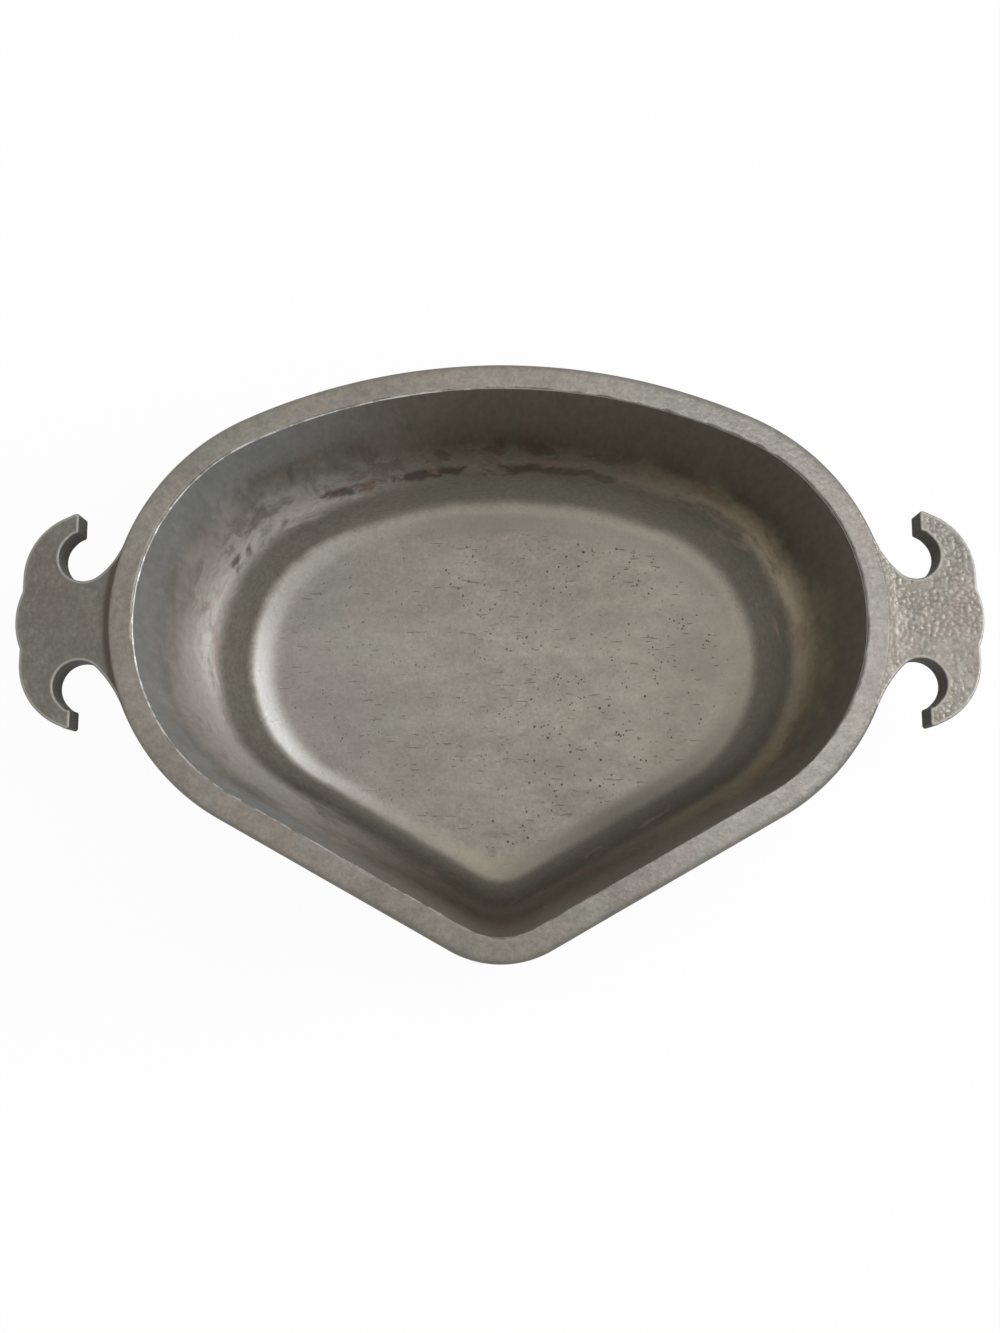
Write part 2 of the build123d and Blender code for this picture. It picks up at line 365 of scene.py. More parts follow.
handles = {
    "left": {                    # smoother, darker, meets the rim in a crease
        "piece": "handleCastingLeft", "node": "left_handle", "side": -1,
        "seed": 71, "pebbleDepth": 0.0002,
        "lift": 0.3, "liftUnder": 0.0, "liftRun": 0.0032, "liftPower": 2.0,
        # The left handle's tone is darker as painted shade, since it lies away from the lamps on the right
        "material": "pebbledCastLeftPaintedShade", "tone": 0.166, "cast": (0.985, 0.985, 0.915),
        # The seam numbers set a painted shadow in the crease where the handle meets the rim, strong here
        "grainHeight": 0.0005, "seamFrom": 0.55, "seamDark": 0.85, "rosyShare": 0.12,
    },
    "right": {                   # pebbled, paler, flows into the rim
        "piece": "handleCastingRight", "node": "right_handle", "side": 1,
        "seed": 83, "pebbleDepth": 0.0005,
        "lift": 1.0, "liftUnder": 0.0025, "liftRun": 0.0085, "liftPower": 1.25,
        # The right handle's tone is paler as painted light, since it lies near the lamps
        "material": "pebbledCastRightPaintedLight", "tone": 0.268, "cast": (1.0, 0.99, 0.955),
        # Here the painted shadow by the seam is faint
        "grainHeight": 0.0007, "seamFrom": 0.75, "seamDark": 0.12, "rosyShare": 0.3,
    },
}
handleY = widestY - plate["ahead"]


def polylineAt(points, count):
    # Evenly spaced points along a chain of points
    points = np.asarray(points, float)
    length = np.r_[0, np.cumsum(np.hypot(*np.diff(points, axis=0).T))]
    s = np.linspace(0, length[-1], count)
    return np.stack([np.interp(s, length, points[:, 0]), np.interp(s, length, points[:, 1])], 1)


def arcPoints(centre, radius, start, end, count=60):
    # Centre plus radius times cosine and sine, from start to end in degrees
    t = np.radians(np.linspace(start, end, count))
    return np.stack([centre[0] + radius * np.cos(t), centre[1] + radius * np.sin(t)], 1)


def plateCurves(end):
    # Half of the plate, y counted from its middle line; end is 1 at the back, -1 in front.
    # Hook side: flat tip, round notch, sweep into the wall. Outer side: the hook's back, low swelling,
    # middle line. The sweep's circle touches the notch's circle and one just inside the wall
    spread = plate["backSpread"] if end > 0 else plate["frontSpread"]
    rootRadius = plate["backRoot"] if end > 0 else plate["frontRoot"]
    notch = np.array([sideX + plate["hookOffset"], spread])
    edgeX = sideX + plate["reach"]
    back = np.array([edgeX - plate["backRadius"], plate["bumpHalf"] + plate["bumpRun"]])
    tipX = notch[0] + plate["tipOffset"]
    tipTurn = math.degrees(math.acos(plate["tipOffset"] / plate["hookRadius"]))
    backTurn = math.degrees(math.acos((tipX - back[0]) / plate["backRadius"]))
    far = pan["cornerRadius"] - plate["rootBite"] + rootRadius
    near = rootRadius - plate["hookRadius"]
    wall = np.array([cornerX, end * plate["ahead"]])
    gap = np.linalg.norm(notch - wall)
    along = (far ** 2 - near ** 2 + gap ** 2) / (2 * gap)
    across = math.sqrt(far ** 2 - along ** 2)
    unit = (notch - wall) / gap
    sweep = wall + along * unit + across * np.array([-unit[1], unit[0]])
    toWall, toNotch = wall - sweep, notch - sweep
    wallTurn = math.degrees(math.atan2(toWall[1], toWall[0])) % 360
    notchTurn = math.degrees(math.atan2(toNotch[1], toNotch[0])) % 360
    onWall = sweep + rootRadius * toWall / np.linalg.norm(toWall)
    rootRing = pan["cornerRadius"] - plate["hiddenRoot"]
    notchMiddle = -45            # degrees; the fan about the tip ends here and the neck starts
    fanArc = arcPoints(notch, plate["hookRadius"], tipTurn, notchMiddle)
    neck = np.concatenate([
        arcPoints(notch, plate["hookRadius"], notchMiddle, notchTurn - 360),
        arcPoints(sweep, rootRadius, notchTurn, wallTurn)[1:],
        [[cornerX + math.sqrt(rootRing ** 2 - onWall[1] ** 2), onWall[1]]],
    ])
    half, height = plate["bumpHalf"], plate["bumpHeight"]
    bumpRadius = (half ** 2 + height ** 2) / (2 * height)
    bumpTurn = math.degrees(math.asin(half / bumpRadius))
    outer = np.concatenate([
        arcPoints(back, plate["backRadius"], backTurn, 0),
        arcPoints((edgeX + height - bumpRadius, 0), bumpRadius, bumpTurn, 0),
    ])
    middle = np.array([[edgeX + height, 0.0], [cornerX + rootRing, 0.0]])
    fan, rest = plate["fanColumns"], plate["neckColumns"] + 1
    hookSide = np.concatenate([polylineAt(fanArc, fan), polylineAt(neck, rest)[1:]])
    outerSide = np.concatenate([polylineAt(outer, fan), polylineAt(middle, rest)[1:]])
    return hookSide, outerSide, tipX


def platePlan(end):
    # Ruled points p = hook + k (outer - hook), with the two tip corners drawn in as rounded edges,
    # and each point's distance to the plate's edge
    hook, outer, tipX = plateCurves(end)
    near = np.array(plate["edgeRows"])
    k = np.concatenate([near, np.linspace(0.10, 0.90, plate["middleRows"]), 1 - near[::-1]])
    p = hook[None] + k[:, None, None] * (outer - hook)[None]
    r = plate["tipCorner"]
    s = np.minimum(k, 1 - k)[:, None] * np.linalg.norm(outer[0] - hook[0])
    atTip = (p[..., 0] > tipX - 0.5 * r) & (p[..., 1] > plate["backSpread"])
    p[..., 0] += roundDrop(r, s) * (1 - rise(p[..., 0], tipX, tipX + 4 * r)) * atTip
    border = np.concatenate([p[0, ::-1], p[1:-1, 0], p[-1, :plate["fanColumns"]]])
    flat = p.reshape(-1, 2)
    distance = np.full(len(flat), 1.0)
    for chunk in np.array_split(np.arange(len(border) - 1), 24):   # spares memory
        a, b = border[chunk], border[chunk + 1]
        ab = b - a
        t = ((flat[:, None] - a[None]) * ab[None]).sum(2) / np.maximum((ab ** 2).sum(1), 1e-18)[None]
        foot = a[None] + np.clip(t, 0, 1)[..., None] * ab[None]
        distance = np.minimum(distance, np.linalg.norm(flat[:, None] - foot, axis=2).min(1))
    return p, distance.reshape(p.shape[:2])


def plateHeights(x, y, gap, wallGap, own):
    # Top: its level, less the rounded edge's drop, plus the lift towards the rim and the grain.
    # Underside: its level plus the drop, less half the grain
    topZ = rimZ - plate["drop"]
    drop = roundDrop(plate["edgeRadius"], gap)
    lift = np.clip(1 - (wallGap + own["liftUnder"]) / own["liftRun"], 0, 1) ** own["liftPower"]
    lift = plate["drop"] * lift * own["lift"] - plate["tuck"] * rise(-wallGap, *plate["tuckFrom"])
    place, seed = np.stack([x, y, np.full_like(x, topZ)], 2), own["seed"]
    grain = pebbleHeight(place + (0, 0, seed * 0.01), plate["pebbleSize"], seed) - 0.45
    worn = 0.35 + 0.65 * rise(layeredNoise(place, plate["wornSize"], seed + 3, 2), -0.55, 0.35)
    ripple = layeredNoise(place, plate["rippleSize"], seed + 9, 2) - 1
    calm = rise(gap, *plate["calmEdge"]) * rise(wallGap, *plate["calmWall"])
    relief = (grain * own["pebbleDepth"] * worn + ripple * plate["rippleDepth"]) * calm
    under = (plate["rippleDepth"] - grain * own["pebbleDepth"] * 0.5) * calm
    return topZ - drop + lift + relief, topZ - plate["thickness"] + drop + under


def makeHandle(own):
    # Two halves, each a top and an underside over the plan, joined by rings at top + t (underside - top)
    fan, verts, faces, edgeGaps, seams = plate["fanColumns"], [], [], [], []
    count = 0
    for end in (1, -1):
        p, gap = platePlan(end)
        x, y = p[..., 0], handleY + end * p[..., 1]
        wallGap = np.hypot(x - cornerX, y - widestY) - pan["cornerRadius"]
        top, low = plateHeights(x, y, gap, wallGap, own)
        topIndex = count + np.arange(x.size).reshape(x.shape)
        lowIndex = topIndex + x.size
        count += 2 * x.size
        verts += [np.stack([x, y, z], 2).reshape(-1, 3) for z in (top, low)]
        edgeGaps += [np.minimum(gap / plate["edgeMark"], 1).ravel()] * 2
        seams += [np.clip(1 - wallGap / plate["seamMark"], 0, 1).ravel()] * 2
        for index, up in ((topIndex, end), (lowIndex, -end)):
            a, b, c, d = index[:-1, :-1], index[:-1, 1:], index[1:, 1:], index[1:, :-1]
            corners = [a, b, c, d] if up == 1 else [a, d, c, b]
            faces += np.stack(corners, 2).reshape(-1, 4).tolist()
        # Round the border, then along the hidden end inside the pan's wall
        border = [np.concatenate([k[0, ::-1], k[1:, 0], k[-1, 1:fan]]) for k in (topIndex, lowIndex)]
        hiddenEnd = [k[::-1, -1] for k in (topIndex, lowIndex)]
        for loopTop, loopLow in (border, hiddenEnd):
            upper, lower = np.concatenate(verts)[loopTop], np.concatenate(verts)[loopLow]
            rings = [loopTop]
            for t in plate["sideRings"]:
                verts.append(upper * (1 - t) + lower * t)
                edgeGaps.append(np.zeros(len(loopTop)))
                seams.append(np.zeros(len(loopTop)))
                rings.append(count + np.arange(len(loopTop)))
                count += len(loopTop)
            rings.append(loopLow)
            for high, below in zip(rings[:-1], rings[1:]):
                a, b, c, d = high[:-1], high[1:], below[1:], below[:-1]
                corners = [a, b, c, d] if end == 1 else [a, d, c, b]
                faces += np.stack(corners, 1).tolist()
    verts = np.concatenate(verts)
    if own["side"] < 0:
        verts[:, 0] *= -1
        faces = [face[::-1] for face in faces]
    marks = {"edgeGap": np.concatenate(edgeGaps), "seam": np.concatenate(seams)}
    thing = addMesh(own["piece"], verts, faces, marks)
    weld(thing.data)
    return thing


def weld(mesh):
    # Joins the two halves along the middle line and points all faces outwards
    bm = bmesh.new()
    bm.from_mesh(mesh)
    bmesh.ops.remove_doubles(bm, verts=bm.verts, dist=0.000002)
    bmesh.ops.recalc_face_normals(bm, faces=bm.faces)
    bm.to_mesh(mesh)
    bm.free()


handlePieces = [makeHandle(own) for own in handles.values()]
print("handles made,", len(handlePieces[0].data.polygons), "faces each")


# Node helpers: a value is a socket, a number or a colour triple

def plug(tree, socket, value):
    if isinstance(value, tuple):
        socket.default_value = (*value, 1)
    elif isinstance(value, (int, float)):
        socket.default_value = value
    else:
        tree.links.new(value, socket)


def addNode(tree, kind, **values):
    node = tree.nodes.new(kind)
    for key, value in values.items():
        node.inputs[key].default_value = value
    return node


def calc(tree, operation, a, b, clamp=False):
    node = tree.nodes.new("ShaderNodeMath")
    node.operation, node.use_clamp = operation, clamp
    plug(tree, node.inputs[0], a)
    plug(tree, node.inputs[1], b)
    return node.outputs[0]


def chain(tree, operation, values):
    total = values[0]
    for value in values[1:]:
        total = calc(tree, operation, total, value)
    return total


def times(tree, *values):
    return chain(tree, "MULTIPLY", values)


def plus(tree, *values):
    return chain(tree, "ADD", values)


def less(tree, *values):
    return chain(tree, "SUBTRACT", values)


def largest(tree, *values):
    return chain(tree, "MAXIMUM", values)


def flip(tree, value):
    return less(tree, 1.0, value)


def remap(tree, value, low, high, toLow=0.0, toHigh=1.0):
    # toLow at low, toHigh at high, eased between
    node = tree.nodes.new("ShaderNodeMapRange")
    node.interpolation_type = "SMOOTHSTEP"
    tree.links.new(value, node.inputs["Value"])
    for key, number in (("From Min", low), ("From Max", high), ("To Min", toLow), ("To Max", toHigh)):
        node.inputs[key].default_value = number
    return node.outputs["Result"]


def between(tree, value, zone):
    # 0 below the zone's first number, 1 from its second to its third, 0 above its fourth
    return times(tree, remap(tree, value, *zone[:2]), remap(tree, value, *zone[2:], 1, 0))


def tint(tree, share, a, b, blend="MIX"):
    # Mix of two colours
    node = tree.nodes.new("ShaderNodeMix")
    node.data_type, node.blend_type = "RGBA", blend
    for slot, value in ((0, share), (6, a), (7, b)):
        plug(tree, node.inputs[slot], value)
    return node.outputs[2]


def shade(tree, colour, factor, mask=1.0):
    # Colour times a level or a tone, where the mask is 1
    return tint(tree, mask, colour, factor, "MULTIPLY")


def stainAndPaintedLight(tree, colour, coat, *masks):
    # Lays a coat, a real stain or painted light and shade: a tone and how much it covers, where all the
    # masks are 1
    tone, cover = coat
    return tint(tree, times(tree, *masks, cover), colour, tone)


def placed(tree, scale=(1, 1, 1), turn=(0, 0, 0)):
    # Object coordinates, stretched and turned
    where = tree.nodes.new("ShaderNodeTexCoord")
    move = addNode(tree, "ShaderNodeMapping", Scale=scale, Rotation=turn)
    tree.links.new(where.outputs["Object"], move.inputs["Vector"])
    return move.outputs["Vector"]


def noise(tree, where, scale, detail, rough=0.55, twist=0.0):
    node = addNode(
        tree, "ShaderNodeTexNoise", Scale=scale, Detail=detail, Roughness=rough, Distortion=twist)
    tree.links.new(where, node.inputs["Vector"])
    return node.outputs["Fac"]


def wobble(tree, scale, size, stretch=(1, 1, 1)):
    # Noise about 0, half of size either way
    return times(tree, less(tree, noise(tree, placed(tree, stretch), scale, 4, 0.62, 0.6), 0.5), size)


def cellDistance(tree, where, scale, randomness=1.0):
    node = addNode(tree, "ShaderNodeTexVoronoi", Scale=scale, Randomness=randomness)
    tree.links.new(where, node.inputs["Vector"])
    return node.outputs["Distance"]


def attribute(tree, name):
    node = tree.nodes.new("ShaderNodeAttribute")
    node.attribute_name = name
    return node.outputs["Fac"]


def newGroup(name, inputs, outputs):
    group = bpy.data.node_groups.new(name, "ShaderNodeTree")
    for key, value in inputs.items():
        socket = group.interface.new_socket(key, in_out="INPUT", socket_type="NodeSocketFloat")
        socket.default_value = value
    for key, kind in outputs.items():
        group.interface.new_socket(key, in_out="OUTPUT", socket_type="NodeSocket" + kind)
    return group, group.nodes.new("NodeGroupInput"), group.nodes.new("NodeGroupOutput")


def useGroup(tree, group, **values):
    node = tree.nodes.new("ShaderNodeGroup")
    node.node_tree = group
    for key, value in values.items():
        node.inputs[key].default_value = value
    return node.outputs


def startMaterial(name):
    material = bpy.data.materials.new(name)
    material.use_nodes = True
    tree = material.node_tree
    tree.nodes.clear()
    shader = tree.nodes.new("ShaderNodeBsdfPrincipled")
    output = tree.nodes.new("ShaderNodeOutputMaterial")
    tree.links.new(shader.outputs["BSDF"], output.inputs["Surface"])
    return material, tree, shader


def linkBump(tree, shader, height, strength, distance):
    bump = addNode(tree, "ShaderNodeBump", Strength=strength, Distance=distance)
    tree.links.new(height, bump.inputs["Height"])
    tree.links.new(bump.outputs["Normal"], shader.inputs["Normal"])


# Effects that all the castings share

metal = {
    "scourTurns": ((0.15, 26), (-0.5, 30), (0.95, 34)),   # each direction and its stretch
    "pitSizes": ((260.0, 0.16, 0.0), (520.0, 0.2, 3.0)),   # cells per metre, core, turn
    "warm": (1.0, 0.955, 0.885), "rosy": (1.0, 0.90, 0.83), "green": (0.94, 0.965, 0.87),
    "metallic": 0.85,
}


def scratchGroup():
    # Long thin noise in three directions, cut to its peaks: fine scouring marks and a few deep scratches
    group, start, end = newGroup("scouring", {"Amount": 1.0}, {"Fine": "Float", "Deep": "Float"})
    fine, deep = 0.0, 0.0
    for turn, stretch in metal["scourTurns"]:
        brushed = placed(group, (stretch, 900, 60), (0, 0, turn))
        fine = plus(group, remap(group, noise(group, brushed, 1.0, 3, 0.6), 0.42, 0.72), fine)
        sparse = placed(group, (stretch * 4.5, 850, 40), (0, 0, turn + 0.2))
        deep = plus(group, remap(group, noise(group, sparse, 1.0, 1, 0.4), 0.735, 0.79), deep)
    group.links.new(times(group, fine, 0.33), end.inputs["Fine"])
    group.links.new(calc(group, "MULTIPLY", deep, start.outputs["Amount"], True), end.inputs["Deep"])
    return group


def pitGroup():
    # Small scattered dark pits: the cores of Voronoi cells, kept where a second noise is high
    group, start, end = newGroup("pitting", {"Amount": 0.5}, {"Pits": "Float"})
    total = 0.0
    for scale, size, turn in metal["pitSizes"]:
        where = placed(group, turn=(0, 0, turn))
        core = remap(group, cellDistance(group, where, scale), size * 0.4, size, 1, 0)
        keep = remap(group, noise(group, where, scale * 0.23, 2), 0.50, 0.60)
        total = largest(group, times(group, core, keep), total)
    group.links.new(calc(group, "MULTIPLY", total, start.outputs["Amount"], True), end.inputs["Pits"])
    return group


def patinaGroup():
    # Blotches of warm, rosy and greenish grey at three sizes, and the fine grain of worn casting
    group, start, end = newGroup(
        "patina", {"Tone": 0.27}, {"Color": "Color", "Grain": "Float", "Cloud": "Float"})
    where = placed(group)
    cloud = noise(group, where, 22, 5, 0.6, 0.4)
    grain = noise(group, where, 620, 5, 0.7)
    mottle = noise(group, where, 210, 3, 0.6, 0.3)
    rosy = noise(group, placed(group, turn=(0.4, 0, 1.1)), 38, 4, 0.6, 0.6)
    green = noise(group, placed(group, turn=(0, 0.7, 2.3)), 30, 4, 0.6, 0.5)
    rosyShare = times(group, remap(group, rosy, 0.42, 0.66), 0.75)
    colour = tint(group, rosyShare, metal["warm"], metal["rosy"])
    colour = tint(group, times(group, remap(group, green, 0.45, 0.68), 0.7), colour, metal["green"])
    level = times(
        group, remap(group, cloud, 0.25, 0.75, 0.88, 1.10), remap(group, grain, 0.25, 0.75, 0.84, 1.14),
        remap(group, mottle, 0.3, 0.7, 0.90, 1.09), start.outputs["Tone"])
    group.links.new(shade(group, colour, level), end.inputs["Color"])
    group.links.new(grain, end.inputs["Grain"])
    group.links.new(cloud, end.inputs["Cloud"])
    return group


scouring, pitting, patina = scratchGroup(), pitGroup(), patinaGroup()


# The pan's finish and its painted light and shade. A coat is its tone and how much it covers; a zone is
# where it lies on the way down the wall, from 0 at the rim to 1 at the floor's edge: starts, full, full
# until, gone

panFinishAndPaintedLight = {
    # The rim's multiplier on the right is painted light, lighter and cooler
    "tone": 0.245, "warmth": (1.0, 0.972, 0.905), "rightRimPaintedLight": (1.11, 1.14, 1.19),
    "tideHeights": (0.0147, 0.0159, 0.0171, 0.0191), "blotchHeights": (0.015, 0.019, 0.027, 0.044),
}
# Besides stains, this table holds painted light and shade: a light patch on the left wall, shade in the
# cove, on the wall in front on the right and on the dish behind, a bright crescent, light and shade on the
# floor's halves, and shade on the rim's outer edge. The lip's rubbed coat is partly a painted highlight
stainsAndPaintedLight = {
    "clean": ((0.47, 0.45, 0.415), 0.8), "cool": ((0.245, 0.26, 0.262), 0.7),
    "olive": ((0.236, 0.216, 0.170), 0.75), "smear": ((0.46, 0.39, 0.29), 0.85),
    "valley": ((0.078, 0.073, 0.058), 0.72), "shaded": ((0.078, 0.073, 0.058), 0.6),
    "dish": ((0.15, 0.145, 0.125), 0.5), "crescent": ((0.56, 0.55, 0.53), 0.9),
    "tide": ((0.062, 0.046, 0.034), 0.85), "blotch": ((0.105, 0.074, 0.052), 0.6),
    "rosyStreak": ((0.30, 0.205, 0.168), 0.5), "darkStreak": ((0.10, 0.095, 0.08), 0.5),
    "paleStreak": ((0.58, 0.56, 0.52), 0.4),
    "floorLeftPaintedLight": ((0.31, 0.30, 0.275), 0.45), "floorRightPaintedShade": ((0.185, 0.17, 0.137), 0.55),
    "pit": ((0.045, 0.038, 0.03), 0.85), "scratch": ((0.10, 0.09, 0.072), 0.4),
    "outerEdgePaintedShade": ((0.115, 0.107, 0.09), 0.55), "lip": ((0.16, 0.155, 0.14), 0.7),
    "rubbed": ((0.62, 0.61, 0.585), 0.85),
}
zones = {
    "clean": (0.22, 0.32, 0.44, 0.56), "smear": (0.26, 0.33, 0.40, 0.5), "streaks": (0.2, 0.30, 0.46, 0.58),
    "valleyLeft": (0.43, 0.56, 0.69, 0.745), "valleyRight": (0.36, 0.48, 0.64, 0.745),
    "shaded": (0.34, 0.46, 0.80, 1.0), "dish": (0.76, 0.83, 0.92, 1.0),
    "crescent": (0.725, 0.78, 0.82, 0.97),
}


def panPlaces(tree):
    # What the stains and the painted light and shade share: the mesh's marks, places in metres, left and
    # right halves
    marks = ("rim", "lip", "edge", "inside", "floor")
    at = SimpleNamespace(**{name: attribute(tree, name) for name in marks})
    at.where = tree.nodes.new("ShaderNodeTexCoord").outputs["Object"]
    split = tree.nodes.new("ShaderNodeSeparateXYZ")
    tree.links.new(at.where, split.inputs[0])
    at.across, at.away, at.height = split.outputs
    at.left, at.right = remap(tree, at.across, -0.085, 0.0, 1, 0), remap(tree, at.across, 0.02, 0.1)
    wayDown = attribute(tree, "wayDown")
    at.wayDown = plus(tree, wayDown, times(tree, wobble(tree, 42, 0.05), at.inside))
    # Streak coordinates in metres: down the wall, a quarter of the way round it, and a little of X
    follow = tree.nodes.new("ShaderNodeCombineXYZ")
    tree.links.new(times(tree, wayDown, 0.0465), follow.inputs[0])
    tree.links.new(times(tree, attribute(tree, "wayRound"), 0.075), follow.inputs[1])
    tree.links.new(times(tree, at.across, 0.25), follow.inputs[2])
    at.follow = follow.outputs[0]
    return at


def streaks(tree, at, scale, low, high, detail=4):
    return remap(tree, noise(tree, at.follow, scale, detail, 0.6, 0.5), low, high)


def wallStainsAndPaintedLight(tree, at, colour):
    # Left wall: a lighter patch of painted light, and cool grey by the rim. Right wall: olive brown with a
    # pale smear
    patchy = plus(tree, at.wayDown, wobble(tree, 26, 0.16, (1, 1, 0.5)))
    # Painted light: a lighter patch on the left wall, which faces the lamps
    at.clean = times(tree, between(tree, patchy, zones["clean"]), at.left, at.inside)
    colour = stainAndPaintedLight(tree, colour, stainsAndPaintedLight["clean"], at.clean)
    at.cool = times(tree, remap(tree, at.height, 0.036, 0.060), at.inside, at.left)
    colour = stainAndPaintedLight(tree, colour, stainsAndPaintedLight["cool"], at.cool)
    onFloor = remap(tree, at.floor, 0, 1, 1, 0.35)
    colour = stainAndPaintedLight(tree, colour, stainsAndPaintedLight["olive"], at.inside, onFloor, flip(tree, at.left))
    smear = between(tree, patchy, zones["smear"])
    return stainAndPaintedLight(tree, colour, stainsAndPaintedLight["smear"], smear, at.inside, at.right)


def coveGrimeAndPaintedLight(tree, at, colour):
    # Painted shade with some grime in the cove, narrower on the left, and painted shade on the wall in
    # front on the right. Where the dish begins, painted shade in a band behind on the right and a painted
    # highlight in a crescent on the left
    notLeft = flip(tree, at.left)
    # Painted shade, with some grime, in the cove: narrower on the left
    valleyLeft = times(tree, between(tree, at.wayDown, zones["valleyLeft"]), at.left, 0.95)
    valleyRight = times(tree, between(tree, at.wayDown, zones["valleyRight"]), notLeft)
    at.valley = plus(tree, valleyLeft, valleyRight)
    colour = stainAndPaintedLight(tree, colour, stainsAndPaintedLight["valley"], at.valley, at.inside)
    # Painted shade on the wall and dish in front on the right
    frontRight = times(tree, remap(tree, at.across, 0.0, 0.05), remap(tree, at.away, -0.065, 0.012, 1, 0))
    at.shaded = times(tree, between(tree, at.wayDown, zones["shaded"]), frontRight, at.inside)
    colour = stainAndPaintedLight(tree, colour, stainsAndPaintedLight["shaded"], at.shaded)
    # Painted shade on a band of the dish behind, on the right
    dish = times(tree, between(tree, at.wayDown, zones["dish"]), remap(tree, at.away, 0.0, 0.04))
    colour = stainAndPaintedLight(tree, colour, stainsAndPaintedLight["dish"], dish, notLeft, at.inside)
    # Painted highlight: a bright crescent on the left where the cove meets the dish, brightest at the
    # middle
    brightest = plus(tree, times(tree, between(tree, at.away, (-0.062, -0.022, 0.0, 0.045)), 0.72), 0.28)
    fading = times(tree, remap(tree, at.across, -0.095, -0.01, 1, 0), brightest)
    at.crescent = times(tree, between(tree, at.wayDown, zones["crescent"]), fading, at.inside)
    return stainAndPaintedLight(tree, colour, stainsAndPaintedLight["crescent"], at.crescent)


def cookingMarks(tree, at, colour):
    # Tide line left by cooking, thin, ragged and broken, with brown blotches over it at the back
    behind = times(tree, remap(tree, at.away, 0.005, 0.045), remap(tree, at.across, 0.0, 0.06, 1, 0.5))
    onWall = times(tree, at.inside, flip(tree, at.floor), behind)
    level = plus(tree, at.height, wobble(tree, 16, 0.010, (1, 1, 0.3)), wobble(tree, 120, 0.0028))
    line = between(tree, level, panFinishAndPaintedLight["tideHeights"])
    at.tide = times(tree, line, streaks(tree, at, 110, 0.42, 0.50, 5), onWall)
    colour = stainAndPaintedLight(tree, colour, stainsAndPaintedLight["tide"], at.tide)
    blotches = times(tree, streaks(tree, at, 230, 0.50, 0.62, 5), onWall)
    return stainAndPaintedLight(tree, colour, stainsAndPaintedLight["blotch"], blotches, between(tree, level, panFinishAndPaintedLight["blotchHeights"]))


def wallStreaks(tree, at, colour):
    # Rosy, dark and pale streaks, and fine brush marks
    onWall = times(tree, between(tree, at.wayDown, zones["streaks"]), at.inside)
    onLeft = times(tree, onWall, at.left)
    colour = stainAndPaintedLight(tree, colour, stainsAndPaintedLight["rosyStreak"], streaks(tree, at, 190, 0.54, 0.66), onWall)
    colour = stainAndPaintedLight(tree, colour, stainsAndPaintedLight["darkStreak"], streaks(tree, at, 150, 0.46, 0.34), onLeft)
    colour = stainAndPaintedLight(tree, colour, stainsAndPaintedLight["paleStreak"], streaks(tree, at, 230, 0.55, 0.68), onLeft)
    brushed = remap(tree, noise(tree, at.follow, 1500, 2, 0.5), 0.3, 0.7, 0.93, 1.07)
    return shade(tree, colour, brushed, times(tree, at.inside, remap(tree, at.wayDown, 0.66, 0.8, 1, 0)))


def floorMarksAndPaintedLight(tree, at, colour):
    # Long soft clouds on the floor, with painted light on the left half and painted shade, olive, on the
    # right half. Pits and scratches show most on it
    clouds = noise(tree, placed(tree, (1, 2.4, 1), (0, 0, 0.12)), 26, 5, 0.6, 0.8)
    colour = shade(tree, colour, remap(tree, clouds, 0.3, 0.7, 0.87, 1.10), at.floor)
    # Painted light on the floor's left half and painted shade, olive, on its right half
    leftHalf, rightHalf = remap(tree, at.across, -0.10, 0.02, 1, 0), remap(tree, at.across, 0.0, 0.10)
    colour = stainAndPaintedLight(tree, colour, stainsAndPaintedLight["floorLeftPaintedLight"], at.floor, leftHalf)
    colour = stainAndPaintedLight(tree, colour, stainsAndPaintedLight["floorRightPaintedShade"], at.floor, rightHalf)
    mostOnFloor = times(tree, remap(tree, at.floor, 0.0, 1.0, 0.3, 1.0), at.inside)
    at.pits = times(tree, at.pits, mostOnFloor, remap(tree, at.across, -0.06, 0.06, 0.55, 1.0))
    at.scratches = times(tree, at.scratches, mostOnFloor)
    colour = stainAndPaintedLight(tree, colour, stainsAndPaintedLight["pit"], at.pits)
    colour = stainAndPaintedLight(tree, colour, stainsAndPaintedLight["scratch"], at.scratches)
    return shade(tree, colour, remap(tree, at.scouring, 0.1, 0.8, 0.985, 1.02))


def rimWearAndPaintedLight(tree, at, colour):
    # The land has painted shade in front and painted light on the right, lighter and cooler there; its
    # rounded outer edge has painted shade, and its inner edge a ragged painted highlight on the left, with
    # rubbed wear
    # Painted shade: the land darker in front
    colour = shade(tree, colour, remap(tree, at.away, -0.105, -0.03, 0.80, 0.95), at.rim)
    onRight = times(tree, at.rim, remap(tree, at.across, 0.0, 0.08))
    # Painted light: the land lighter and cooler on the right
    colour = shade(tree, colour, panFinishAndPaintedLight["rightRimPaintedLight"], onRight)
    # Painted shade on the rim's rounded outer edge, which turns away from the light
    colour = stainAndPaintedLight(tree, colour, stainsAndPaintedLight["outerEdgePaintedShade"], at.edge)
    colour = stainAndPaintedLight(tree, colour, stainsAndPaintedLight["lip"], at.lip)
    # A ragged painted highlight along the lip on the left, where it faces the lamps, with rubbed wear
    ragged = remap(tree, noise(tree, placed(tree), 210, 3, 0.6), 0.40, 0.58)
    onLeft = times(tree, at.lip, remap(tree, at.across, -0.06, 0.05, 1, 0))
    return stainAndPaintedLight(tree, colour, stainsAndPaintedLight["rubbed"], onLeft, remap(tree, ragged, 0, 1, 0.35, 1))


